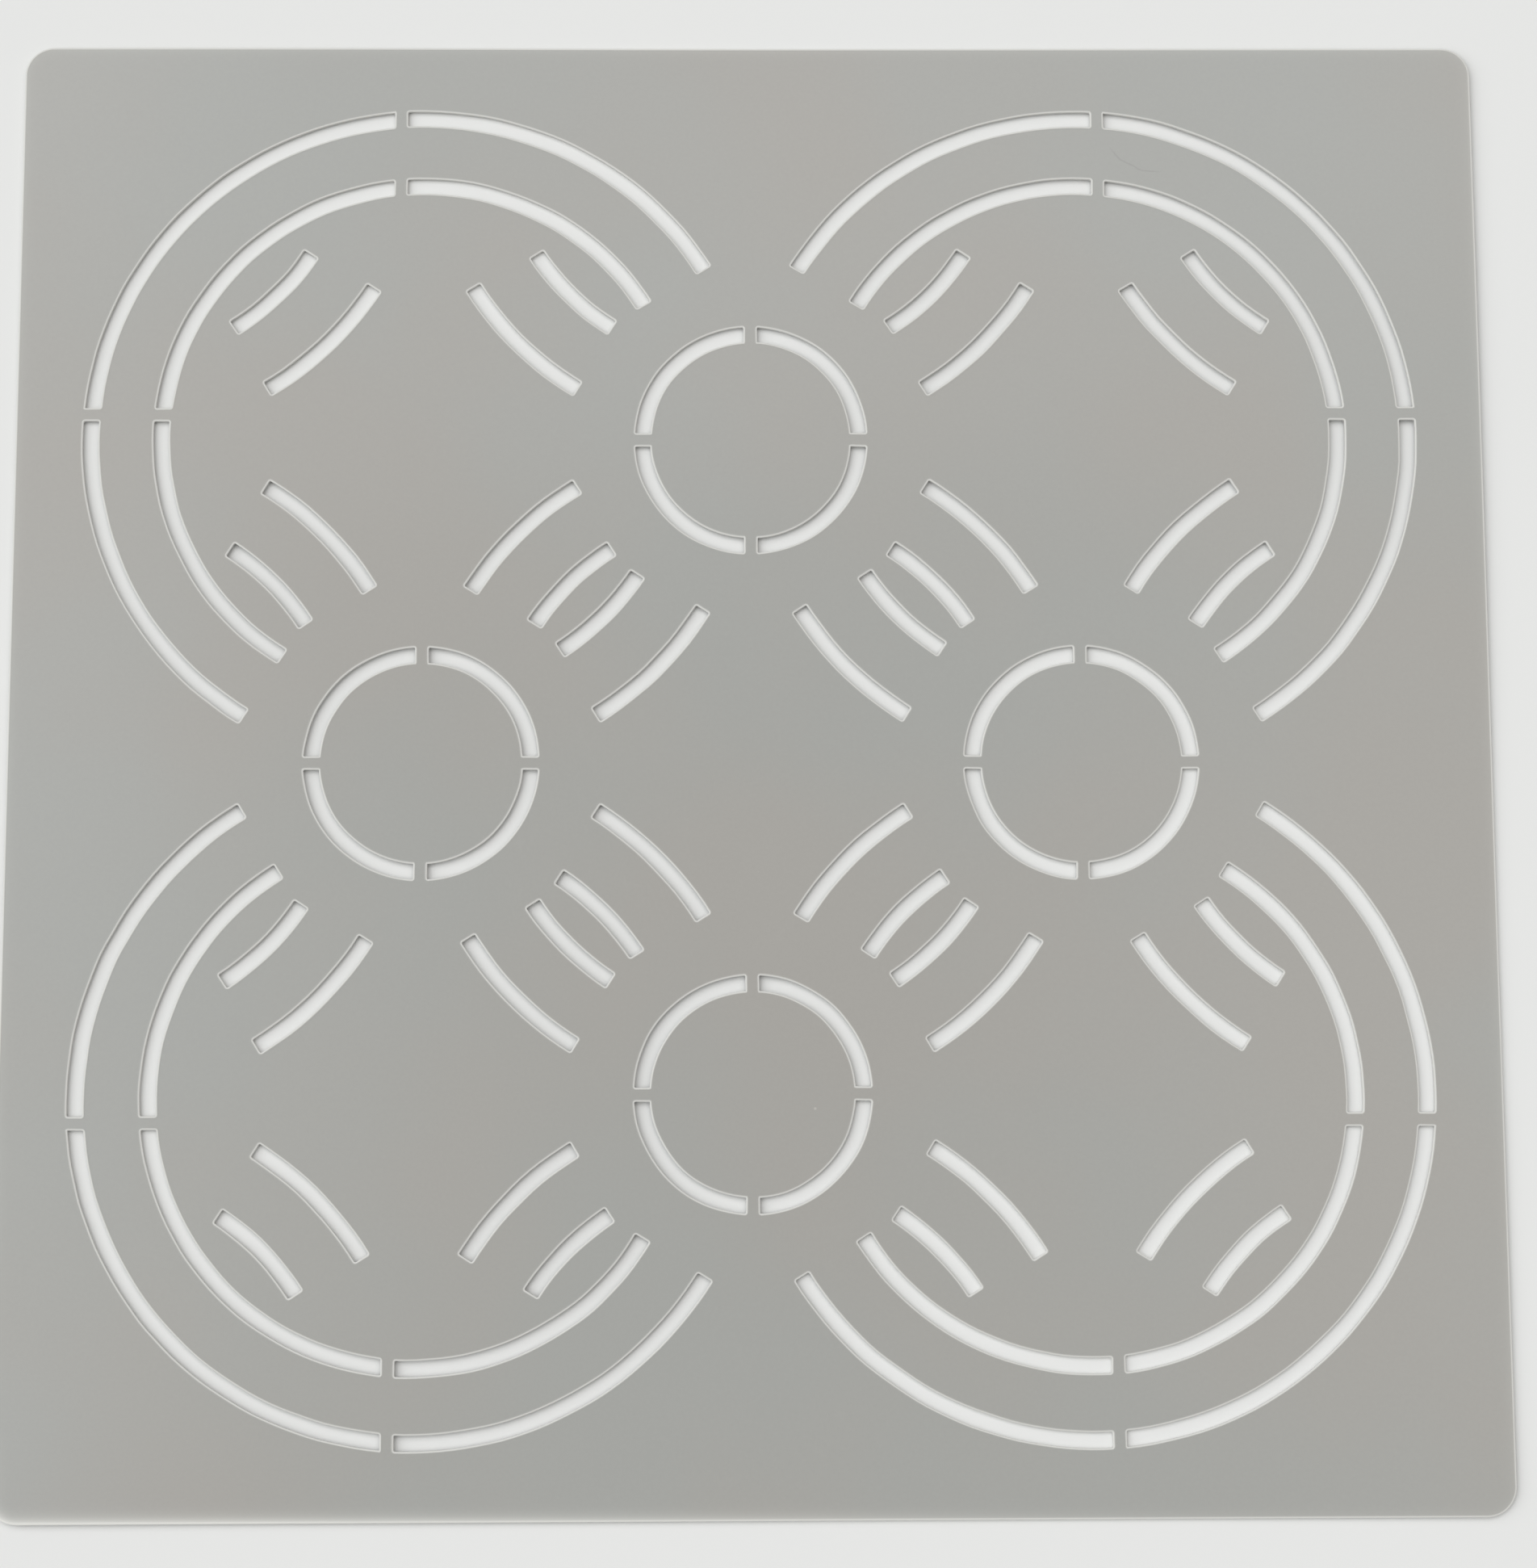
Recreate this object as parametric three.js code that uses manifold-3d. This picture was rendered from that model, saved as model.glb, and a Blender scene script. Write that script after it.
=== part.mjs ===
// Square drawing stencil: one flat sheet of milky plastic with pencil slots cut right through it.
// The slots draw interlaced double rings. Four rings stand at the sheet's quarters, arcs of the
// rings that they interlace with make petals inside them, and a small circle marks each crossing.
// Millimetres, +Z up. The origin is the middle of the underside, and +Y is the pattern's top.

import * as THREE from "three";
import { mergeVertices } from "three/addons/utils/BufferGeometryUtils.js";
import Module from "manifold-3d";

const wasm = await Module();
wasm.setup();

// Driving dimensions of the sheet
const sheetSide = 150;
const sheetThickness = 0.4;
const cornerRadius = 3;

// Driving dimensions of the slots and of the plastic left between them
const slotWidth = 1.55;
const edgeMargin = 6.85; // from a ring's outer slot to the edge of the sheet
const bridgeWidth = 1.4; // strips that tie the plastic inside a slot to the plastic outside
const bridgeOffset = 2.45; // from a ring's centre line outwards to the middle of its bridge

// Driving dimensions of the pattern, all to the centre lines of the slots
const ringLap = 0.2; // how far a ring reaches past the sheet's centre lines
const ringBand = 7.2; // between a ring's outer and inner slot
const petalWidth = 4.9; // between the two inner slots that face each other in a petal
const petalBand = 7.35; // between the inner and outer slot of an interlaced ring in a petal
const petalOuterSpan = THREE.MathUtils.degToRad(26);
const petalInnerSpan = THREE.MathUtils.degToRad(24);
const knotRadius = 11.05; // small circle at each crossing of the rings
const knotGap = 7.4; // from a small circle to the ends of the rings beside it
const knotInset = 0.25; // from the line between two ring centres to the small circle's centre

// Greatest distance between a round edge and the straight facets that stand for it
const facetError = 0.05;

// How far the slot cutters stand out above and below the sheet
const cutterOvershoot = 1;

// Rings: each lies edgeMargin inside two sides of the sheet and laps both of its centre lines
const ringSpread = sheetSide / 2 - edgeMargin - slotWidth / 2;
const ringCentre = (ringSpread - ringLap) / 2;
const ringOuterRadius = ringCentre + ringLap;
const ringInnerRadius = ringOuterRadius - ringBand;
const ringBreak = 2 * Math.asin((knotRadius + knotGap) / (2 * ringOuterRadius));
const knotCentre = ringCentre - knotInset;

// Petals: the lens between a ring and the ring that it interlaces with, one diagonal away
const interlaceDistance = Math.hypot(ringCentre, ringCentre);
const petalInnerRadius = (interlaceDistance + petalWidth) / 2;
const petalOuterRadius = petalInnerRadius + petalBand;

const quarterTurn = Math.PI / 2;
const halfTurn = Math.PI;
const quarters = [0, 1, 2, 3];

// A point at a distance from the origin in a direction
function polarPoint(distance, direction) {
  return new THREE.Vector2(distance * Math.cos(direction), distance * Math.sin(direction));
}

// Points along an arc, both ends included, counterclockwise or clockwise as the angles run
function arcPoints(centre, radius, from, to) {
  const facetAngle = 2 * Math.acos(1 - facetError / radius);
  const facets = Math.ceil(Math.abs(to - from) / facetAngle);
  const arc = new THREE.EllipseCurve(centre.x, centre.y, radius, radius, from, to, to < from);
  return arc.getPoints(facets);
}

// A slot along an arc. Each end is a function from radius to angle, so that it can be cut square
// across the slot or along the straight side of a bridge.
function arcSlot(centre, radius, fromAt, toAt) {
  const outer = radius + slotWidth / 2;
  const inner = radius - slotWidth / 2;
  return [
    ...arcPoints(centre, outer, fromAt(outer), toAt(outer)),
    ...arcPoints(centre, inner, toAt(inner), fromAt(inner)),
  ];
}

// A slot of a given span whose middle lies in a given direction from its centre
function spanSlot(centre, radius, middle, span) {
  return arcSlot(centre, radius, () => middle - span / 2, () => middle + span / 2);
}

// Direction in which a circle of any radius meets a line parallel to an axis, offset from it
function lineCrossing(axis, offset) {
  return (radius) => axis + Math.asin(offset / radius);
}

// The long way round a ring, in three slots between its two crossings and its two bridges
function ringSlots(centre, radius) {
  const near = bridgeOffset - bridgeWidth / 2;
  const far = bridgeOffset + bridgeWidth / 2;
  return [
    arcSlot(centre, radius, () => ringBreak - quarterTurn, lineCrossing(0, near)),
    arcSlot(centre, radius, lineCrossing(0, far), lineCrossing(quarterTurn, -far)),
    arcSlot(centre, radius, lineCrossing(quarterTurn, -near), () => halfTurn - ringBreak),
  ];
}

// The pair of slots that a ring leaves in a petal
function petalSlots(centre, outerRadius, middle) {
  return [
    spanSlot(centre, outerRadius, middle, petalOuterSpan),
    spanSlot(centre, petalInnerRadius, middle, petalInnerSpan),
  ];
}

// A small circle in four slots, with a bridge on each of its axes
function knotSlots(centre) {
  const side = bridgeWidth / 2;
  return quarters.map((quarter) => {
    const axis = quarter * quarterTurn;
    return arcSlot(centre, knotRadius, lineCrossing(axis, side), lineCrossing(axis + quarterTurn, -side));
  });
}

// Every slot of the ring in the +X +Y quarter, with the petals on its four diagonals
function quarterSlots() {
  const centre = new THREE.Vector2(ringCentre, ringCentre);
  const slots = [...ringSlots(centre, ringOuterRadius), ...ringSlots(centre, ringInnerRadius)];
  const outwards = quarterTurn / 2;
  for (const quarter of quarters) {
    const diagonal = outwards + quarter * quarterTurn;
    const interlaced = polarPoint(interlaceDistance, diagonal).add(centre);
    slots.push(...petalSlots(interlaced, petalOuterRadius, diagonal + halfTurn));
  }
  slots.push(...petalSlots(centre, ringOuterRadius, outwards + halfTurn));
  return slots;
}

// All slots of the sheet: the quarter mirrored into four, and the four small circles
function patternSlots() {
  const slots = [];
  for (const signX of [1, -1]) {
    for (const signY of [1, -1]) {
      const mirror = new THREE.Vector2(signX, signY);
      slots.push(...quarterSlots().map((slot) => slot.map((point) => point.multiply(mirror))));
    }
  }
  for (const quarter of quarters) {
    slots.push(...knotSlots(polarPoint(knotCentre, quarter * quarterTurn)));
  }
  return slots;
}

// Outline of the sheet, a square with rounded corners
function sheetOutline() {
  const inset = sheetSide / 2 - cornerRadius;
  return quarters.flatMap((quarter) => {
    const start = quarter * quarterTurn;
    const centre = polarPoint(Math.hypot(inset, inset), start + quarterTurn / 2);
    return arcPoints(centre, cornerRadius, start, start + quarterTurn);
  });
}

// A solid with straight walls between two heights, ready to cut or to be cut
function prism(outline, bottom, top) {
  const shape = new THREE.Shape(outline);
  const walls = new THREE.ExtrudeGeometry(shape, { depth: top - bottom, bevelEnabled: false });
  walls.translate(0, 0, bottom);
  walls.deleteAttribute("normal");
  walls.deleteAttribute("uv");
  const merged = mergeVertices(walls);
  const vertProperties = new Float32Array(merged.attributes.position.array);
  const triVerts = new Uint32Array(merged.index.array);
  return new wasm.Manifold(new wasm.Mesh({ numProp: 3, vertProperties, triVerts }));
}

// A cut solid as geometry for a mesh
function solidGeometry(solid) {
  const mesh = solid.getMesh();
  const geometry = new THREE.BufferGeometry();
  geometry.setAttribute("position", new THREE.BufferAttribute(mesh.vertProperties, mesh.numProp));
  geometry.setIndex(new THREE.BufferAttribute(mesh.triVerts, 1));
  geometry.computeVertexNormals();
  return geometry;
}

// Pale grey milky sheet plastic with a satin face
function milkyPlastic() {
  return new THREE.MeshStandardMaterial({ color: 0xacaca8, roughness: 0.35, metalness: 0 });
}

// The sheet with its slots, from the underside at 0 up to its thickness
function stencilSheet() {
  let solid = prism(sheetOutline(), 0, sheetThickness);
  for (const slot of patternSlots()) {
    solid = solid.subtract(prism(slot, -cutterOvershoot, sheetThickness + cutterOvershoot));
  }
  const sheet = new THREE.Mesh(solidGeometry(solid), milkyPlastic());
  sheet.name = "stencil_sheet";
  return sheet;
}

const stencil = new THREE.Group();
stencil.add(stencilSheet());

export default stencil;
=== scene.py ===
"""Looks of a square drawing stencil: one milky plastic sheet with interlaced pencil slots.

Metres, +Z up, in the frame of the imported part. The origin is the middle of the sheet's underside,
and +Y is the pattern's top.
"""

import logging
import math
from collections.abc import Callable, Iterator
from contextlib import contextmanager
from dataclasses import dataclass
from enum import Enum
from functools import reduce
from typing import Any

import bmesh
import bpy
from mathutils import Matrix, Vector


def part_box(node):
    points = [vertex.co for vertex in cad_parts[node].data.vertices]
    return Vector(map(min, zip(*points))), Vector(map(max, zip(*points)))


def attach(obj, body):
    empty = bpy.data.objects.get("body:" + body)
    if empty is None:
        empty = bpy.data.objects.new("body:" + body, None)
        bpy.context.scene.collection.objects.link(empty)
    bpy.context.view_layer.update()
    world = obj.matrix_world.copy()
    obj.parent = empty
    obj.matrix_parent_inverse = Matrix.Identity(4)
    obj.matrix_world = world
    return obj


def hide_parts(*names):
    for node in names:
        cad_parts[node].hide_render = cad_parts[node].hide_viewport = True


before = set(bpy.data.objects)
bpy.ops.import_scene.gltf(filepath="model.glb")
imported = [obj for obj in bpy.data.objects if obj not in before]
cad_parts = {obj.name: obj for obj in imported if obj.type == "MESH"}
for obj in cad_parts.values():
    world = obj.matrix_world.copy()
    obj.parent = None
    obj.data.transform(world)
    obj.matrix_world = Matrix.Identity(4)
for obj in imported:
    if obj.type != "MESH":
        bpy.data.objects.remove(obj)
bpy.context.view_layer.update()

LOG = logging.getLogger("stencil")
MM = 0.001
QUARTER_TURN = math.pi / 2
FULL_TURN = 2 * math.pi
UP = Vector((0, 0, 1))
EAST = Vector((1, 0, 0))
NORTH = Vector((0, 1, 0))
OTHER_QUARTERS = (1, 2, 3)
NOISE_MIDDLE = 0.5

CUT_RIM = "cut_rim"
SLOT_EDGES = "slot_edges"

Triple = tuple[float, float, float]
Pair = tuple[float, float]


def direction(angle: float) -> Vector:
    """Gives the level direction at an angle from +X."""
    return Vector((math.cos(angle), math.sin(angle), 0))


class Side(Enum):
    """The two broad faces of the sheet, by the way they look along Z."""

    UPPER = 1
    UNDER = -1


class Reading:
    """A number that changes over a surface: one socket, whose arithmetic adds Math nodes."""

    def __init__(self, shader: "Shader", socket: bpy.types.NodeSocket) -> None:
        """Wraps a socket.

        Args:
            shader: The node tree that the socket belongs to.
            socket: The output socket that gives the number.
        """
        self.shader = shader
        self.socket = socket

    def _math(self, operation: str, *terms: "Reading | float") -> "Reading":
        """Adds a Math node.

        Args:
            operation: What the node does.
            terms: What it works on, in order.

        Returns:
            The result.
        """
        slots = ("Value", "Value_001", "Value_002")
        node = self.shader.node("ShaderNodeMath", {"operation": operation}, dict(zip(slots, terms)))
        return self.shader.reading(node, "Value")

    def __add__(self, other: "Reading | float") -> "Reading":
        """Adds a number."""
        return self._math("ADD", self, other)

    def __radd__(self, other: float) -> "Reading":
        """Is added to a number."""
        return self._math("ADD", other, self)

    def __sub__(self, other: "Reading | float") -> "Reading":
        """Takes a number away."""
        return self._math("SUBTRACT", self, other)

    def __rsub__(self, other: float) -> "Reading":
        """Is taken away from a number."""
        return self._math("SUBTRACT", other, self)

    def __mul__(self, other: "Reading | float") -> "Reading":
        """Multiplies by a number."""
        return self._math("MULTIPLY", self, other)

    def __rmul__(self, other: float) -> "Reading":
        """Is multiplied by a number."""
        return self._math("MULTIPLY", other, self)

    def __abs__(self) -> "Reading":
        """Drops the sign."""
        return self._math("ABSOLUTE", self)

    def highest(self, other: "Reading") -> "Reading":
        """Gives the greater of two numbers."""
        return self._math("MAXIMUM", self, other)

    def fade(self, reach: float) -> "Reading":
        """Falls from 1 towards 0 as the number grows, by the same share over each reach."""
        return self._math("EXPONENT", self * (-1 / reach))

    def rise(self, start: float, end: float) -> "Reading":
        """Eases from 0 to 1 between two values of the number.

        Args:
            start: Where the result is still 0.
            end: Where it reaches 1, which may lie below the start.

        Returns:
            The eased number.
        """
        settings = {"interpolation_type": "SMOOTHSTEP"}
        sockets = {"Value": self, "From Min": start, "From Max": end}
        return self.shader.reading(self.shader.node("ShaderNodeMapRange", settings, sockets), "Result")


class Shader:
    """The node tree of one finish."""

    def __init__(self, tree: bpy.types.NodeTree) -> None:
        """Takes over a node tree and empties it.

        Args:
            tree: The tree of a material or a world.
        """
        self.tree = tree
        tree.nodes.clear()

    def node(
        self, kind: str, settings: dict[str, Any] | None = None, sockets: dict[str, Any] | None = None
    ) -> bpy.types.Node:
        """Adds a node.

        Args:
            kind: Blender's name for the type of node.
            settings: The node's own settings, which are set first.
            sockets: What goes into its sockets by identifier: a number, a colour or a link.

        Returns:
            The node.
        """
        node = self.tree.nodes.new(kind)
        for name, setting in (settings or {}).items():
            setattr(node, name, setting)
        inputs = {socket.identifier: socket for socket in node.inputs}
        for name, given in (sockets or {}).items():
            if isinstance(given, Reading):
                given = given.socket
            if isinstance(given, bpy.types.NodeSocket):
                self.tree.links.new(given, inputs[name])
            else:
                inputs[name].default_value = given
        return node

    def socket(self, node: bpy.types.Node, name: str) -> bpy.types.NodeSocket:
        """Finds an output socket of a node by its identifier."""
        return next(socket for socket in node.outputs if socket.identifier == name)

    def reading(self, node: bpy.types.Node, name: str) -> Reading:
        """Wraps an output socket that gives a number."""
        return Reading(self, self.socket(node, name))

    def place(self) -> bpy.types.NodeSocket:
        """Gives the place on the piece in metres."""
        return self.socket(self.node("ShaderNodeTexCoord"), "Object")

    def vector(self, operation: str, *terms: Any) -> bpy.types.NodeSocket:
        """Works out a vector.

        Args:
            operation: What is done to the terms.
            terms: The vectors or sockets that it is worked out from, in order.

        Returns:
            The vector.
        """
        slots = ("Vector", "Vector_001", "Vector_002")
        node = self.node("ShaderNodeVectorMath", {"operation": operation}, dict(zip(slots, terms)))
        return self.socket(node, "Vector")

    def measure(self, operation: str, *terms: Any) -> Reading:
        """Works out a number from vectors, such as a length.

        Args:
            operation: What is done to the terms.
            terms: The vectors or sockets that it is worked out from, in order.

        Returns:
            The number.
        """
        slots = ("Vector", "Vector_001")
        node = self.node("ShaderNodeVectorMath", {"operation": operation}, dict(zip(slots, terms)))
        return self.reading(node, "Value")

    def moved(
        self, place: bpy.types.NodeSocket, turn: float = 0, stretch: Triple = (1, 1, 1)
    ) -> bpy.types.NodeSocket:
        """Turns and stretches a place about the upright axis.

        Args:
            place: The place to start from.
            turn: How far it is turned.
            stretch: The scale along each axis after the turn.

        Returns:
            The new place.
        """
        turned = self.node(
            "ShaderNodeMapping", {"vector_type": "POINT"}, {"Vector": place, "Rotation": (0, 0, turn)}
        )
        sockets = {"Vector": self.socket(turned, "Vector"), "Scale": stretch}
        return self.socket(self.node("ShaderNodeMapping", {"vector_type": "POINT"}, sockets), "Vector")

    def clouds(self, place: bpy.types.NodeSocket, size: float, detail: float = 2) -> Reading:
        """Gives soft random patches around the noise's middle.

        Args:
            place: Where the patches are read.
            size: Rough width of a patch.
            detail: How many finer layers are laid over them.

        Returns:
            The patches.
        """
        sockets = {"Vector": place, "Scale": 1 / size, "Detail": detail}
        return self.reading(self.node("ShaderNodeTexNoise", {}, sockets), "Fac")

    def mix(self, factor: Reading, first: Any, second: Any) -> bpy.types.NodeSocket:
        """Blends two colours.

        Args:
            factor: 0 for the first colour and 1 for the second.
            first: A colour or a colour socket.
            second: Another one.

        Returns:
            The blend.
        """
        ends = [(*end, 1) if isinstance(end, tuple) else end for end in (first, second)]
        sockets = {"Factor_Float": factor, "A_Color": ends[0], "B_Color": ends[1]}
        return self.socket(self.node("ShaderNodeMix", {"data_type": "RGBA"}, sockets), "Result_Color")

    def scaled(self, colour: bpy.types.NodeSocket, factor: Reading) -> bpy.types.NodeSocket:
        """Makes a colour lighter or darker by a factor."""
        sockets = {"Vector": colour, "Scale": factor}
        node = self.node("ShaderNodeVectorMath", {"operation": "SCALE"}, sockets)
        return self.socket(node, "Vector")


@dataclass(frozen=True)
class CurvedScuff:
    """A single hair-thin scuff that bends across the plastic between two slots."""

    centre: Triple = (42.2 * MM, 67.6 * MM, 0)
    radius: float = 5.85 * MM
    middle: float = math.radians(244)
    half_span: float = math.radians(34)
    core: float = 0.03 * MM
    edge: float = 0.13 * MM
    wander: float = 0.5 * MM
    wander_size: float = 1.6 * MM

    def mask(self, shader: Shader, place: bpy.types.NodeSocket) -> Reading:
        """Gives 1 along the scuff and 0 away from it.

        Args:
            shader: The finish that wears the scuff.
            place: The place on the piece in plan.

        Returns:
            The mask.
        """
        sockets = {"Vector": place, "Scale": 1 / self.wander_size}
        wobble = shader.socket(shader.node("ShaderNodeTexNoise", {}, sockets), "Color")
        reach = Vector((self.wander, self.wander, 0))
        shifted = shader.vector("MULTIPLY_ADD", wobble, reach, place)
        spoke = shader.vector("SUBTRACT", shifted, Vector(self.centre) + reach * NOISE_MIDDLE)
        length = shader.measure("LENGTH", spoke)
        facing = shader.measure("DOT_PRODUCT", spoke, direction(self.middle) / self.radius)
        across = abs(length - self.radius).rise(self.edge, self.core)
        along = facing.rise(math.cos(self.half_span), math.cos(self.half_span / 2))
        return across * along


@dataclass(frozen=True)
class PaleSpeck:
    """A single pale speck in the plastic, inside the lowest small circle."""

    centre: Triple = (6.2 * MM, -34.8 * MM, 0)
    core: float = 0.05 * MM
    edge: float = 0.20 * MM

    def mask(self, shader: Shader, place: bpy.types.NodeSocket) -> Reading:
        """Gives 1 on the speck and 0 away from it.

        Args:
            shader: The finish that has the speck.
            place: The place on the piece in plan.

        Returns:
            The mask.
        """
        return shader.measure("DISTANCE", place, self.centre).rise(self.edge, self.core)


@dataclass(frozen=True)
class PaintedEdgeGlow:
    """A painted glow inside the outer edges, which stands in for light getting into the milky plastic
    there.

    It is faint all round. Along the lower edge a stronger one is full at the left corner and fades
    to the right.
    """

    half_side: float
    corner_radius: float
    reach: float = 0.42 * MM
    all_round: float = 0.16
    lower_edge: float = 1.1
    gone_right: float = 60 * MM
    gone_above: float = -62 * MM
    full_below: float = -74 * MM

    def mask(self, shader: Shader, place: bpy.types.NodeSocket) -> Reading:
        """Gives how strongly the painted glow shows, which fades away from the edge.

        Args:
            shader: The finish that has the painted glow.
            place: The place on the piece in plan.

        Returns:
            The mask.
        """
        core = self.half_side - self.corner_radius
        beyond = shader.vector("SUBTRACT", shader.vector("ABSOLUTE", place), (core, core, 0))
        overhang = shader.vector("MAXIMUM", beyond, Vector())
        inset = self.corner_radius - shader.measure("LENGTH", overhang)
        lower = shader.measure("DOT_PRODUCT", place, NORTH).rise(self.gone_above, self.full_below)
        left = shader.measure("DOT_PRODUCT", place, EAST).rise(self.gone_right, -self.half_side)
        return (self.all_round + lower * left * self.lower_edge) * inset.fade(self.reach)


@dataclass(frozen=True)
class MilkyPlastic:
    """Pale grey milky sheet plastic: satin faces, lighter frosted cuts, a painted edge glow and faint
    handling marks.
    """

    painted_glow: PaintedEdgeGlow
    name: str = "milky_plastic"
    cool_face: Triple = (0.358, 0.359, 0.341)
    warm_face: Triple = (0.366, 0.352, 0.3285)
    # The frosted cut is lighter plastic, and its lightness also stands in for painted glints and glow of
    # light along the cuts.
    frosted_cut_and_glow: Triple = (0.63, 0.626, 0.597)
    # Painted light: the colour of the glow painted inside the outer edges.
    painted_glow_colour: Triple = (0.74, 0.735, 0.70)
    cloud_size: float = 45 * MM
    warm_band: Pair = (0.35, 0.65)
    grain_size: float = 0.35 * MM
    grain_depth: float = 0.05
    face_roughness: float = 0.20
    smudge_size: float = 22 * MM
    smudge_detail: float = 4
    smudge_roughness: float = 0.10
    cut_roughness: float = 0.20
    scratch_turns: tuple[float, ...] = (math.radians(17), math.radians(-38), math.radians(71))
    scratch_length: float = 16 * MM
    scratch_spacing: float = 0.9 * MM
    scratch_width: float = 0.010
    scratch_roughness: float = 0.06
    scratch_band: Pair = (0.52, 0.66)
    scuff: CurvedScuff = CurvedScuff()
    scuff_dark: float = 0.10
    speck: PaleSpeck = PaleSpeck()
    speck_light: float = 0.30
    bump_strength: float = 0.12
    bump_height: float = 0.01 * MM

    def scratches(self, shader: Shader, place: bpy.types.NodeSocket) -> Reading:
        """Gives the fine straight scratches of a sheet that has been stacked and handled.

        Args:
            shader: The finish that wears them.
            place: The place on the piece.

        Returns:
            1 along a scratch and 0 beside it.
        """
        marks = []
        for turn in self.scratch_turns:
            along = shader.moved(place, turn, (1 / self.scratch_length, 1 / self.scratch_spacing, 1))
            field = shader.clouds(along, 1, detail=0)
            line = abs(field - NOISE_MIDDLE).rise(self.scratch_width, 0)
            patches = shader.clouds(shader.moved(place, turn), self.cloud_size, detail=1)
            marks.append(line * patches.rise(*self.scratch_band))
        return reduce(Reading.highest, marks)

    def material(self) -> bpy.types.Material:
        """Makes the finish.

        Returns:
            The material.
        """
        material = bpy.data.materials.new(self.name)
        material.use_nodes = True
        shader = Shader(material.node_tree)
        place = shader.place()
        plan = shader.moved(place, stretch=(1, 1, 0))
        cut = shader.reading(shader.node("ShaderNodeAttribute", {"attribute_name": CUT_RIM}), "Fac")
        grain = shader.clouds(place, self.grain_size) - NOISE_MIDDLE
        scratch = self.scratches(shader, place)
        scuff = self.scuff.mask(shader, plan)
        speck = self.speck.mask(shader, plan)
        painted_glow = self.painted_glow.mask(shader, plan)
        warmth = shader.clouds(place, self.cloud_size).rise(*self.warm_band)
        face = shader.mix(warmth, self.cool_face, self.warm_face)
        marks = 1 + grain * self.grain_depth - scuff * self.scuff_dark + speck * self.speck_light
        face = shader.scaled(face, marks)
        # Painted light: the edge glow, and part of the cut's lightness, are light painted into the colour.
        colour = shader.mix(painted_glow, shader.mix(cut, face, self.frosted_cut_and_glow), self.painted_glow_colour)
        smudge = shader.clouds(place, self.smudge_size, self.smudge_detail) - NOISE_MIDDLE
        wear = smudge * self.smudge_roughness + scratch * self.scratch_roughness
        roughness = self.face_roughness + wear + cut * self.cut_roughness
        bump = shader.node(
            "ShaderNodeBump",
            {},
            {"Strength": self.bump_strength, "Distance": self.bump_height, "Height": grain - scratch},
        )
        surface = shader.node(
            "ShaderNodeBsdfPrincipled",
            {},
            {"Base Color": colour, "Roughness": roughness, "Normal": shader.socket(bump, "Normal")},
        )
        shader.node("ShaderNodeOutputMaterial", {}, {"Surface": shader.socket(surface, "BSDF")})
        return material


@dataclass(frozen=True)
class PaleFloor:
    """The plain pale matt floor of the studio."""

    name: str = "pale_floor"
    colour: Triple = (0.80, 0.80, 0.79)
    gloss: float = 0.0

    def material(self) -> bpy.types.Material:
        """Makes the finish.

        Returns:
            The material.
        """
        material = bpy.data.materials.new(self.name)
        material.use_nodes = True
        shader = Shader(material.node_tree)
        surface = shader.node(
            "ShaderNodeBsdfPrincipled",
            {},
            {"Base Color": (*self.colour, 1), "Specular IOR Level": self.gloss},
        )
        shader.node("ShaderNodeOutputMaterial", {}, {"Surface": shader.socket(surface, "BSDF")})
        return material


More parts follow.
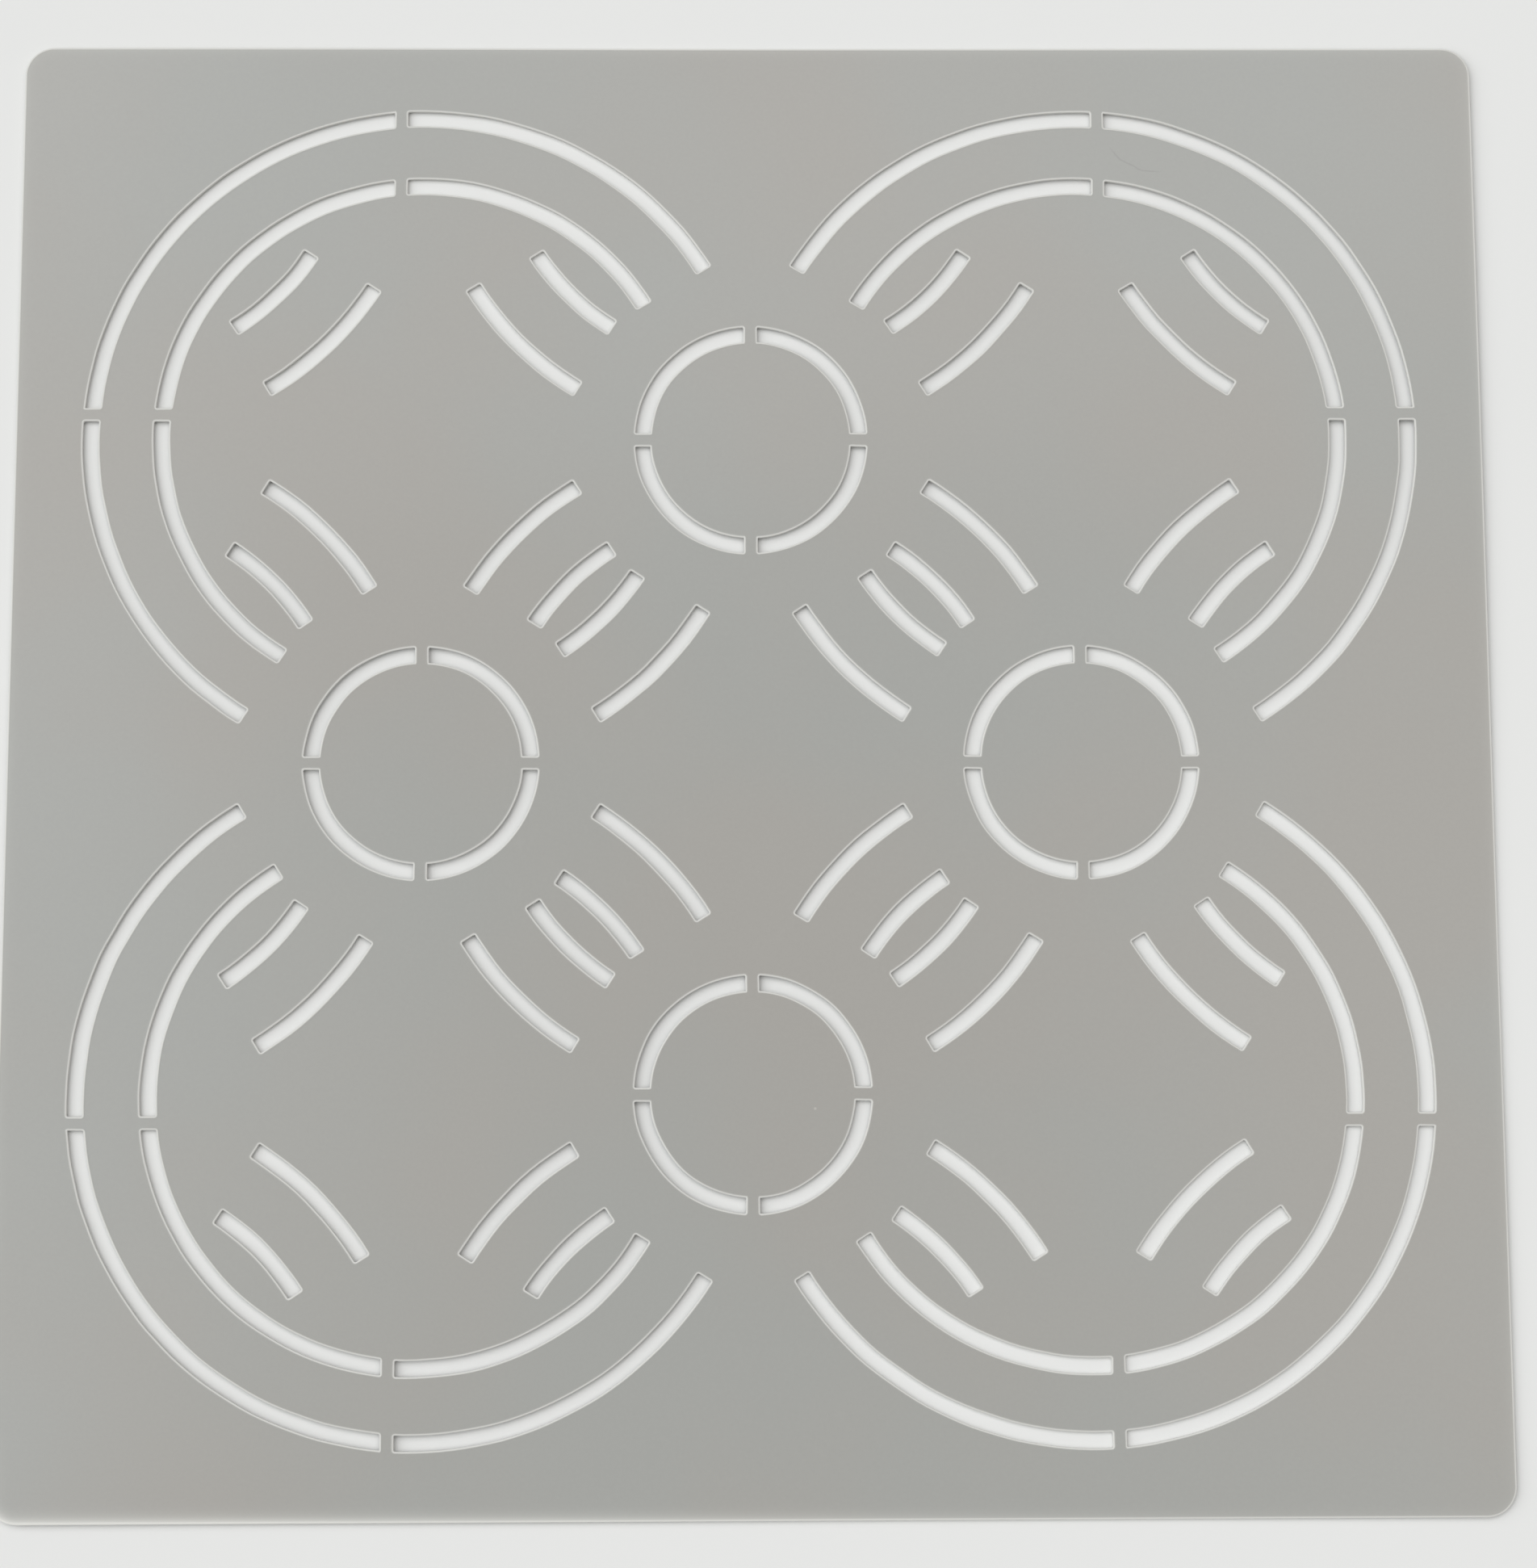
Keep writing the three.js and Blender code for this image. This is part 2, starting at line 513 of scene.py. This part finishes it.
class Bench:
    """The moves of modelling by hand that the pieces share, each made of Blender's operators."""

    @staticmethod
    def put_down() -> None:
        """Deselects everything, so that the next move acts on nothing by accident."""
        bpy.ops.object.select_all(action="DESELECT")

    @staticmethod
    def take(*pieces: bpy.types.Object) -> None:
        """Selects only these pieces and makes the first one active.

        Args:
            pieces: What the next move acts on.
        """
        Bench.put_down()
        for piece in pieces:
            piece.select_set(True)
        bpy.context.view_layer.objects.active = pieces[0]

    @staticmethod
    def named(name: str) -> bpy.types.Object:
        """Names the active object and its mesh, and puts its place into the mesh.

        Args:
            name: What the piece is called.

        Returns:
            The piece, at the origin, unturned and unscaled.
        """
        bpy.ops.object.transform_apply(location=True, rotation=True, scale=True)
        piece = bpy.context.active_object
        piece.name = name
        piece.data.name = name
        return piece

    @staticmethod
    def block(name: str, low: Vector, high: Vector) -> bpy.types.Object:
        """Starts a piece as a rectangular block.

        Args:
            name: What the piece is called.
            low: Its lowest corner.
            high: Its highest corner.

        Returns:
            The block.
        """
        Bench.put_down()
        bpy.ops.mesh.primitive_cube_add(size=1, location=(low + high) / 2, scale=high - low)
        return Bench.named(name)

    @staticmethod
    @contextmanager
    def editing(piece: bpy.types.Object) -> Iterator[None]:
        """Opens a piece in edit mode with nothing selected, and closes it again.

        Args:
            piece: The piece to shape.

        Returns:
            Nothing while the piece is open.
        """
        Bench.take(piece)
        bpy.ops.object.mode_set(mode="EDIT")
        bpy.ops.mesh.select_all(action="DESELECT")
        yield
        bpy.ops.object.mode_set(mode="OBJECT")

    @staticmethod
    def pick_edges(piece: bpy.types.Object, wanted: Callable[[bmesh.types.BMEdge], bool]) -> None:
        """Selects the edges of an open piece that pass a test, and nothing else.

        Args:
            piece: The piece in edit mode.
            wanted: The test that each edge is put to.
        """
        bpy.ops.mesh.select_mode(type="EDGE")
        bpy.ops.mesh.select_all(action="DESELECT")
        for edge in bmesh.from_edit_mesh(piece.data).edges:
            edge.select_set(wanted(edge))
        bmesh.update_edit_mesh(piece.data)

    @staticmethod
    def pick_faces(piece: bpy.types.Object, wanted: Callable[[bmesh.types.BMFace], bool]) -> None:
        """Selects the faces of an open piece that pass a test, and nothing else.

        Args:
            piece: The piece in edit mode.
            wanted: The test that each face is put to.
        """
        bpy.ops.mesh.select_mode(type="FACE")
        bpy.ops.mesh.select_all(action="DESELECT")
        for face in bmesh.from_edit_mesh(piece.data).faces:
            face.select_set(wanted(face))
        bmesh.update_edit_mesh(piece.data)

    @staticmethod
    def join(name: str, pieces: list[bpy.types.Object]) -> bpy.types.Object:
        """Joins pieces into one object.

        Args:
            name: What the joined piece is called.
            pieces: The pieces that go into it.

        Returns:
            The joined piece.
        """
        Bench.take(*pieces)
        bpy.ops.object.join()
        return Bench.named(name)

    @staticmethod
    def turned_copy(piece: bpy.types.Object, angle: float, centre: Vector) -> bpy.types.Object:
        """Copies a piece with its own mesh and turns the copy about an upright axis.

        Args:
            piece: The piece to copy.
            angle: How far the copy turns.
            centre: A point on the axis.

        Returns:
            The copy.
        """
        Bench.take(piece)
        bpy.ops.object.duplicate(linked=False)
        bpy.ops.transform.rotate(value=angle, orient_axis="Z", center_override=centre)
        return Bench.named(piece.name)

    @staticmethod
    def cut(piece: bpy.types.Object, cutter: bpy.types.Object) -> None:
        """Cuts a piece with a solid cutter and throws the cutter away.

        Args:
            piece: The solid that stays.
            cutter: The solid that is taken out of it.
        """
        Bench.take(piece)
        boolean = piece.modifiers.new("cut", "BOOLEAN")
        boolean.operation = "DIFFERENCE"
        boolean.solver = "MANIFOLD"
        boolean.object = cutter
        bpy.ops.object.modifier_apply(modifier=boolean.name)
        bpy.data.objects.remove(cutter)
        piece.data.materials.clear()  # the solver leaves an empty slot behind

    @staticmethod
    def wave(piece: bpy.types.Object, axis: str, size: float, height: float, group: str = "") -> None:
        """Moves points of a piece to and fro along an axis by soft random waves.

        Args:
            piece: The piece to shape.
            axis: The axis that the points move along.
            size: Rough width of a wave.
            height: How far apart two points can move.
            group: The points that move, or nothing for all of them.
        """
        clouds = bpy.data.textures.new("soft_waves", "CLOUDS")
        clouds.noise_scale = size
        clouds.noise_depth = 0
        Bench.take(piece)
        displace = piece.modifiers.new("wave", "DISPLACE")
        displace.texture = clouds
        displace.texture_coords = "LOCAL"
        displace.direction = axis
        displace.strength = height
        displace.vertex_group = group
        bpy.ops.object.modifier_apply(modifier=displace.name)


@dataclass
class SlotPattern:
    """The pencil slots of the stencil, modelled as the solids that cut them.

    Four double rings stand at the sheet's quarters. Arcs of the rings that they interlace with
    make petals inside them, and a small circle, here called a knot, marks each crossing.
    """

    sheet_side: float
    sheet_thickness: float
    slot_width: float = 1.55 * MM
    edge_margin: float = 6.85 * MM
    bridge_width: float = 1.4 * MM
    bridge_offset: float = 2.45 * MM
    ring_lap: float = 0.2 * MM
    ring_band: float = 7.2 * MM
    petal_width: float = 4.9 * MM
    petal_band: float = 7.35 * MM
    petal_outer_span: float = math.radians(26)
    petal_inner_span: float = math.radians(24)
    knot_radius: float = 11.05 * MM
    knot_gap: float = 7.4 * MM
    knot_inset: float = 0.25 * MM
    corner_radius: float = 0.14 * MM
    corner_facets: int = 3
    corner_angle: float = math.radians(50)
    overshoot: float = 1 * MM
    facet_span: float = math.radians(2)
    seam: float = 0.001 * MM
    upright: float = 0.999

    @property
    def ring_centre(self) -> float:
        """Distance of each ring's centre from both centre lines of the sheet."""
        ring_spread = self.sheet_side / 2 - self.edge_margin - self.slot_width / 2
        return (ring_spread - self.ring_lap) / 2

    @property
    def ring_outer_radius(self) -> float:
        """Radius of a ring's outer slot."""
        return self.ring_centre + self.ring_lap

    @property
    def ring_inner_radius(self) -> float:
        """Radius of a ring's inner slot."""
        return self.ring_outer_radius - self.ring_band

    @property
    def ring_break(self) -> float:
        """Angle from a crossing of the rings to the nearest end of a ring."""
        reach = self.knot_radius + self.knot_gap
        return 2 * math.asin(reach / (2 * self.ring_outer_radius))

    @property
    def interlace_distance(self) -> float:
        """Distance between the centres of two interlaced rings."""
        return math.hypot(self.ring_centre, self.ring_centre)

    @property
    def petal_inner_radius(self) -> float:
        """Radius of the two slots that face each other in a petal."""
        return (self.interlace_distance + self.petal_width) / 2

    @property
    def petal_outer_radius(self) -> float:
        """Radius of the slots that lie behind the facing ones in a petal."""
        return self.petal_inner_radius + self.petal_band

    def arc(self, centre: Vector, radius: float, start: float, span: float) -> bpy.types.Object:
        """Sweeps the slot's cross section along an arc.

        Args:
            centre: Centre of the arc.
            radius: Radius of the slot's centre line.
            start: Direction in which the arc starts.
            span: How far it goes round, counterclockwise.

        Returns:
            The closed cutter.
        """
        middle = centre + radius * direction(start) + UP * self.sheet_thickness / 2
        height = self.sheet_thickness + 2 * self.overshoot
        Bench.put_down()
        bpy.ops.mesh.primitive_plane_add(size=1, location=middle, rotation=(QUARTER_TURN, 0, start))
        bpy.context.active_object.scale = (self.slot_width, height, 1)
        cutter = Bench.named("slot_cutter")
        with Bench.editing(cutter):
            bpy.ops.mesh.select_all(action="SELECT")
            if math.isclose(span, FULL_TURN):
                bpy.ops.mesh.delete(type="ONLY_FACE")
                bpy.ops.mesh.select_all(action="SELECT")
            steps = math.ceil(span / self.facet_span)
            bpy.ops.mesh.spin(steps=steps, angle=-span, center=centre, axis=UP)
            bpy.ops.mesh.select_all(action="SELECT")
            bpy.ops.mesh.remove_doubles(threshold=self.seam)
            bpy.ops.mesh.normals_make_consistent(inside=False)
        return cutter

    def facing_arc(self, centre: Vector, radius: float, middle: float, span: float) -> bpy.types.Object:
        """Sweeps a slot whose middle lies in a given direction from its centre.

        Args:
            centre: Centre of the arc.
            radius: Radius of the slot's centre line.
            middle: Direction of the slot's middle.
            span: How far it goes round.

        Returns:
            The closed cutter.
        """
        return self.arc(centre, radius, middle - span / 2, span)

    def bar(self, low: Vector, high: Vector) -> bpy.types.Object:
        """Makes an upright bar that leaves a bridge of plastic across the slots that it meets.

        Args:
            low: Its lowest corner in plan.
            high: Its highest corner in plan.

        Returns:
            The bar, taller than the cutters.
        """
        rise = UP * (self.sheet_thickness + 2 * self.overshoot)
        return Bench.block("bridge_bar", low - rise, high + rise)

    def ring(self) -> list[bpy.types.Object]:
        """Makes the long way round a double ring in the +X +Y quarter.

        Returns:
            The cutters of its two slots.
        """
        centre = Vector((self.ring_centre, self.ring_centre, 0))
        start = self.ring_break - QUARTER_TURN
        span = 3 * QUARTER_TURN - 2 * self.ring_break
        return [
            self.arc(centre, self.ring_outer_radius, start, span),
            self.arc(centre, self.ring_inner_radius, start, span),
        ]

    def ring_bars(self) -> list[bpy.types.Object]:
        """Makes the two bars that bridge both slots of a ring, beside its centre lines.

        Returns:
            The bars.
        """
        inner = self.ring_centre + self.ring_inner_radius - self.slot_width
        outer = self.ring_centre + self.ring_outer_radius + self.slot_width
        near = self.ring_centre + self.bridge_offset - self.bridge_width / 2
        far = near + self.bridge_width
        return [
            self.bar(Vector((inner, near, 0)), Vector((outer, far, 0))),
            self.bar(Vector((near, inner, 0)), Vector((far, outer, 0))),
        ]

    def petals(self) -> list[bpy.types.Object]:
        """Makes the petals on the four diagonals of the ring in the +X +Y quarter.

        Returns:
            The cutters of their slots.
        """
        centre = Vector((self.ring_centre, self.ring_centre, 0))
        outwards = QUARTER_TURN / 2
        inwards = outwards + math.pi
        interlaced = centre + self.interlace_distance * direction(outwards)
        pair = [
            self.facing_arc(interlaced, self.petal_outer_radius, inwards, self.petal_outer_span),
            self.facing_arc(interlaced, self.petal_inner_radius, inwards, self.petal_inner_span),
        ]
        first = Bench.join("petal_cutter", pair)
        others = [Bench.turned_copy(first, turn * QUARTER_TURN, centre) for turn in OTHER_QUARTERS]
        own = [
            self.facing_arc(centre, self.ring_outer_radius, inwards, self.petal_outer_span),
            self.facing_arc(centre, self.petal_inner_radius, inwards, self.petal_inner_span),
        ]
        return [first, *others, *own]

    def knot(self) -> bpy.types.Object:
        """Makes the small circle on the +X axis.

        Returns:
            The cutter, a closed ring.
        """
        centre = Vector((self.ring_centre - self.knot_inset, 0, 0))
        return self.arc(centre, self.knot_radius, 0, FULL_TURN)

    def knot_bars(self) -> list[bpy.types.Object]:
        """Makes the bars that bridge a small circle on its two axes.

        Returns:
            Four bars, which don't touch each other.
        """
        centre = Vector((self.ring_centre - self.knot_inset, 0, 0))
        inner = self.knot_radius - self.slot_width
        outer = self.knot_radius + self.slot_width
        side = self.bridge_width / 2
        first = self.bar(centre + Vector((inner, -side, 0)), centre + Vector((outer, side, 0)))
        others = [Bench.turned_copy(first, turn * QUARTER_TURN, centre) for turn in OTHER_QUARTERS]
        return [first, *others]

    def is_slot_corner(self, edge: bmesh.types.BMEdge) -> bool:
        """Tells whether an edge of a cutter is an upright corner at the end of a slot."""
        along = (edge.verts[1].co - edge.verts[0].co).normalized()
        return abs(along.z) > self.upright and edge.calc_face_angle() > self.corner_angle

    def cutter(self) -> bpy.types.Object:
        """Makes one quarter of the pattern and repeats it round the sheet's middle.

        Returns:
            One object that holds the cutters of all the slots.
        """
        quarter = Bench.join("quarter_cutter", [*self.ring(), *self.petals(), self.knot()])
        bars = Bench.join("bridge_bars", [*self.ring_bars(), *self.knot_bars()])
        Bench.cut(quarter, bars)
        with Bench.editing(quarter):
            Bench.pick_edges(quarter, self.is_slot_corner)
            bpy.ops.mesh.bevel(offset=self.corner_radius, segments=self.corner_facets, affect="EDGES")
        copies = [Bench.turned_copy(quarter, turn * QUARTER_TURN, Vector()) for turn in OTHER_QUARTERS]
        return Bench.join("pattern_cutter", [quarter, *copies])


@dataclass
class StencilSheet:
    """The sheet itself: a rounded square, its slots, and the bead that cutting left on its edges."""

    low: Vector
    high: Vector
    name: str = "milky_sheet"
    corner_radius: float = 3 * MM
    corner_facets: int = 14
    shoulder: float = 0.05 * MM
    shoulder_facets: int = 3
    under_shoulder: float = 0.04 * MM
    under_facets: int = 2
    crest_inset: float = 0.06 * MM
    crest_height: float = 0.03 * MM
    foot_inset: float = 0.11 * MM
    hold_inset: float = 0.05 * MM
    grid_pitch: float = 7.5 * MM
    grid_snap: float = 0.003 * MM
    wander_sizes: Pair = (3.1 * MM, 3.7 * MM)
    wander_reach: float = 0.1 * MM
    ripple_size: float = 60 * MM
    ripple_height: float = 0.55 * MM
    level: float = 0.999
    smooth_angle: float = math.radians(50)

    def is_upright(self, edge: bmesh.types.BMEdge) -> bool:
        """Tells whether an edge stands upright."""
        return abs((edge.verts[1].co - edge.verts[0].co).normalized().z) > self.level

    def is_level(self, face: bmesh.types.BMFace | bpy.types.MeshPolygon, side: Side) -> bool:
        """Tells whether a face lies level on one side of the sheet."""
        return face.normal.z * side.value > self.level

    def is_rim(self, edge: bmesh.types.BMEdge, side: Side) -> bool:
        """Tells whether an edge lies between a level face and a cut wall."""
        return len({self.is_level(face, side) for face in edge.link_faces}) > 1

    def blank(self) -> bpy.types.Object:
        """Makes the sheet before its slots are cut, with its four corners rounded.

        Returns:
            The blank.
        """
        sheet = Bench.block(self.name, self.low, self.high)
        with Bench.editing(sheet):
            Bench.pick_edges(sheet, self.is_upright)
            bpy.ops.mesh.bevel(offset=self.corner_radius, segments=self.corner_facets, affect="EDGES")
        return sheet

    def wander(self, sheet: bpy.types.Object) -> None:
        """Lets the edges of the slots wander a little, as the path of a cutter does.

        Args:
            sheet: The sheet with its slots just cut.
        """
        edge = self.high.x - self.corner_radius
        inner = [point.index for point in sheet.data.vertices if max(map(abs, point.co.xy)) < edge]
        sheet.vertex_groups.new(name=SLOT_EDGES).add(inner, 1, "REPLACE")
        for axis, size in zip("XY", self.wander_sizes):
            Bench.wave(sheet, axis, size, self.wander_reach, SLOT_EDGES)
        sheet.vertex_groups.clear()

    def round_rim(self, sheet: bpy.types.Object, side: Side, offset: float, facets: int) -> None:
        """Rounds the edges between a broad face and the cut walls, and picks what is left of the face.

        Args:
            sheet: The open sheet.
            side: The broad face.
            offset: How far the round reaches.
            facets: How many faces it has.
        """
        Bench.pick_edges(sheet, lambda edge: self.is_rim(edge, side))
        bpy.ops.mesh.bevel(offset=offset, segments=facets, affect="EDGES", loop_slide=False)
        Bench.pick_faces(sheet, lambda face: self.is_level(face, side))

    def refill(self, sheet: bpy.types.Object) -> None:
        """Fills the picked broad face anew, because an inset can fold the faces that the cut left.

        Args:
            sheet: The open sheet, with the faces inside the last inset picked.
        """
        bpy.ops.mesh.delete(type="FACE")
        Bench.pick_edges(sheet, lambda edge: edge.is_boundary)
        bpy.ops.mesh.fill(use_beauty=True)
        bpy.ops.mesh.select_all(action="SELECT")
        bpy.ops.mesh.normals_make_consistent(inside=False)

    def soften(self, sheet: bpy.types.Object) -> None:
        """Rounds all cut edges and raises the bead along the upper ones.

        Args:
            sheet: The sheet with its slots cut.
        """
        with Bench.editing(sheet):
            self.round_rim(sheet, Side.UNDER, self.under_shoulder, self.under_facets)
            bpy.ops.mesh.inset(thickness=self.hold_inset, use_even_offset=True)
            self.refill(sheet)
            self.round_rim(sheet, Side.UPPER, self.shoulder, self.shoulder_facets)
            bpy.ops.mesh.inset(thickness=self.crest_inset, use_even_offset=True)
            bpy.ops.transform.translate(value=UP * self.crest_height)
            bpy.ops.mesh.inset(thickness=self.foot_inset, depth=-self.crest_height, use_even_offset=True)
            bpy.ops.mesh.inset(thickness=self.hold_inset, use_even_offset=True)
            self.refill(sheet)

    def mark_cuts(self, sheet: bpy.types.Object) -> None:
        """Notes on each point whether it belongs to a cut edge or to a broad face.

        Args:
            sheet: The softened sheet.
        """
        cut = [1.0] * len(sheet.data.vertices)
        for face in sheet.data.polygons:
            if abs(face.normal.z) > self.level:
                for point in face.vertices:
                    cut[point] = 0.0
        marks = sheet.data.attributes.new(CUT_RIM, "FLOAT", "POINT")
        marks.data.foreach_set("value", cut)

    def divide(self, sheet: bpy.types.Object) -> None:
        """Divides the sheet along a square grid, so that its broad faces can bend.

        Args:
            sheet: The softened sheet.
        """
        reach = self.high.x - self.grid_pitch / 2
        lines = math.floor(2 * reach / self.grid_pitch) + 1
        with Bench.editing(sheet):
            for across in (EAST, NORTH):
                for line in range(lines):
                    bpy.ops.mesh.select_all(action="SELECT")
                    place = across * (line * self.grid_pitch - reach)
                    bpy.ops.mesh.bisect(plane_co=place, plane_no=across, threshold=self.grid_snap)
            bpy.ops.mesh.select_all(action="SELECT")
            bpy.ops.mesh.remove_doubles(threshold=self.grid_snap)

    def ripple(self, sheet: bpy.types.Object) -> None:
        """Bends the sheet a little, as thin plastic lies on a table, and sets it down on the floor.

        Args:
            sheet: The divided sheet.
        """
        Bench.wave(sheet, "Z", self.ripple_size, self.ripple_height)
        lowest = min(point.co.z for point in sheet.data.vertices)
        with Bench.editing(sheet):
            bpy.ops.mesh.select_all(action="SELECT")
            bpy.ops.transform.translate(value=-lowest * UP)

    def build(self, pattern: SlotPattern, plastic: MilkyPlastic) -> bpy.types.Object:
        """Cuts the slots out of the blank, softens what the cutting left and dresses the sheet.

        Args:
            pattern: The slots to cut.
            plastic: What the sheet is made of.

        Returns:
            The finished sheet.
        """
        sheet = self.blank()
        Bench.cut(sheet, pattern.cutter())
        self.wander(sheet)
        self.soften(sheet)
        self.mark_cuts(sheet)
        self.divide(sheet)
        self.ripple(sheet)
        Bench.take(sheet)
        bpy.ops.object.shade_smooth_by_angle(angle=self.smooth_angle)
        sheet.data.materials.append(plastic.material())
        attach(sheet, "root")
        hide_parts("stencil_sheet")
        return sheet


@dataclass(frozen=True)
class Lamp:
    """A soft distant lamp of the studio, with its angles in degrees."""

    name: str
    level: float
    from_zenith: float
    heading: float
    softness: float
    colour: Triple

    def build(self) -> bpy.types.Object:
        """Hangs the lamp.

        Returns:
            The lamp. A level of 1 lights a white floor to white.
        """
        slant = math.radians(self.from_zenith)
        turn = math.radians(self.heading)
        Bench.put_down()
        bpy.ops.object.light_add(type="SUN", location=UP, rotation=(slant, 0, turn))
        lamp = bpy.context.active_object
        lamp.name = self.name
        lamp.data.energy = self.level * math.pi / math.cos(slant)
        lamp.data.angle = math.radians(self.softness)
        lamp.data.color = self.colour
        return lamp


@dataclass
class Studio:
    """The plain pale floor, the soft lamps and the even light all round."""

    floor_side: float = 16
    floor_finish: PaleFloor = PaleFloor()
    lamps: tuple[Lamp, ...] = (
        Lamp("window_lamp", level=0.40, from_zenith=45, heading=-99, softness=71, colour=(0.97, 0.99, 1)),
        Lamp("ceiling_lamp", level=0.12, from_zenith=31, heading=178, softness=36, colour=(0.98, 0.99, 1)),
        Lamp("room_lamp", level=0.09, from_zenith=30, heading=103, softness=43, colour=(1, 0.97, 0.93)),
    )
    ambient: float = 0.39
    backdrop: float = 0.80
    backdrop_colour: Triple = (1, 1, 0.99)

    def floor(self) -> bpy.types.Object:
        """Lays the floor under the sheet.

        Returns:
            The floor.
        """
        Bench.put_down()
        bpy.ops.mesh.primitive_plane_add(size=self.floor_side)
        floor = Bench.named("pale_floor")
        floor.data.materials.append(self.floor_finish.material())
        return floor

    def surroundings(self) -> None:
        """Sets the even light all round, which shows as a pale backdrop."""
        world = bpy.data.worlds.new("studio")
        world.use_nodes = True
        bpy.context.scene.world = world
        shader = Shader(world.node_tree)
        path = shader.node("ShaderNodeLightPath")
        seen = shader.reading(path, "Is Camera Ray").highest(shader.reading(path, "Is Glossy Ray"))
        seen = seen.highest(shader.reading(path, "Is Transmission Ray"))
        strength = self.ambient + seen * (self.backdrop - self.ambient)
        sky = shader.node(
            "ShaderNodeBackground", {}, {"Color": (*self.backdrop_colour, 1), "Strength": strength}
        )
        shader.node("ShaderNodeOutputWorld", {}, {"Surface": shader.socket(sky, "Background")})

    def build(self) -> None:
        """Sets up the floor, the lamps and the surroundings."""
        self.floor()
        for lamp in self.lamps:
            lamp.build()
        self.surroundings()
        bpy.context.scene.view_settings.view_transform = "Standard"


@dataclass
class PhotoCamera:
    """The camera, above the sheet and a little in front of it."""

    sheet_top: float
    aim_x: float = 1.684 * MM
    aim_y: float = -2.173 * MM
    distance: float = 328.3 * MM
    tilt: float = math.radians(7.69)
    heading: float = math.radians(-5.816)
    roll: float = math.radians(-0.232)
    focal_pixels: float = 4029.95
    image_height: int = 1942

    def build(self) -> bpy.types.Object:
        """Places the camera and makes it the scene's own.

        Returns:
            The camera.
        """
        back = Matrix.Rotation(self.heading, 3, "Z") @ Matrix.Rotation(self.tilt, 3, "X") @ UP
        right = NORTH.cross(back).normalized()
        up = back.cross(right)
        axes = Matrix((right, up, back)).transposed() @ Matrix.Rotation(self.roll, 3, "Z")
        aim = Vector((self.aim_x, self.aim_y, self.sheet_top))
        Bench.put_down()
        bpy.ops.object.camera_add()
        camera = bpy.context.active_object
        camera.name = "photo_camera"
        camera.matrix_world = Matrix.Translation(aim + self.distance * back) @ axes.to_4x4()
        camera.data.lens = camera.data.sensor_width * self.focal_pixels / self.image_height
        bpy.context.scene.camera = camera
        return camera


def main() -> None:
    """Builds the stencil, its studio and the camera, in that order."""
    logging.basicConfig(level=logging.INFO, format="%(name)s: %(message)s")
    low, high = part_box("stencil_sheet")
    pattern = SlotPattern(high.x - low.x, high.z - low.z)
    stencil = StencilSheet(low, high)
    plastic = MilkyPlastic(PaintedEdgeGlow(high.x, stencil.corner_radius))
    sheet = stencil.build(pattern, plastic)
    LOG.info("%s has %d faces", sheet.name, len(sheet.data.polygons))
    Studio().build()
    camera = PhotoCamera(high.z).build()
    LOG.info("%s stands at %s", camera.name, camera.location)


if __name__ == "__main__":
    main()
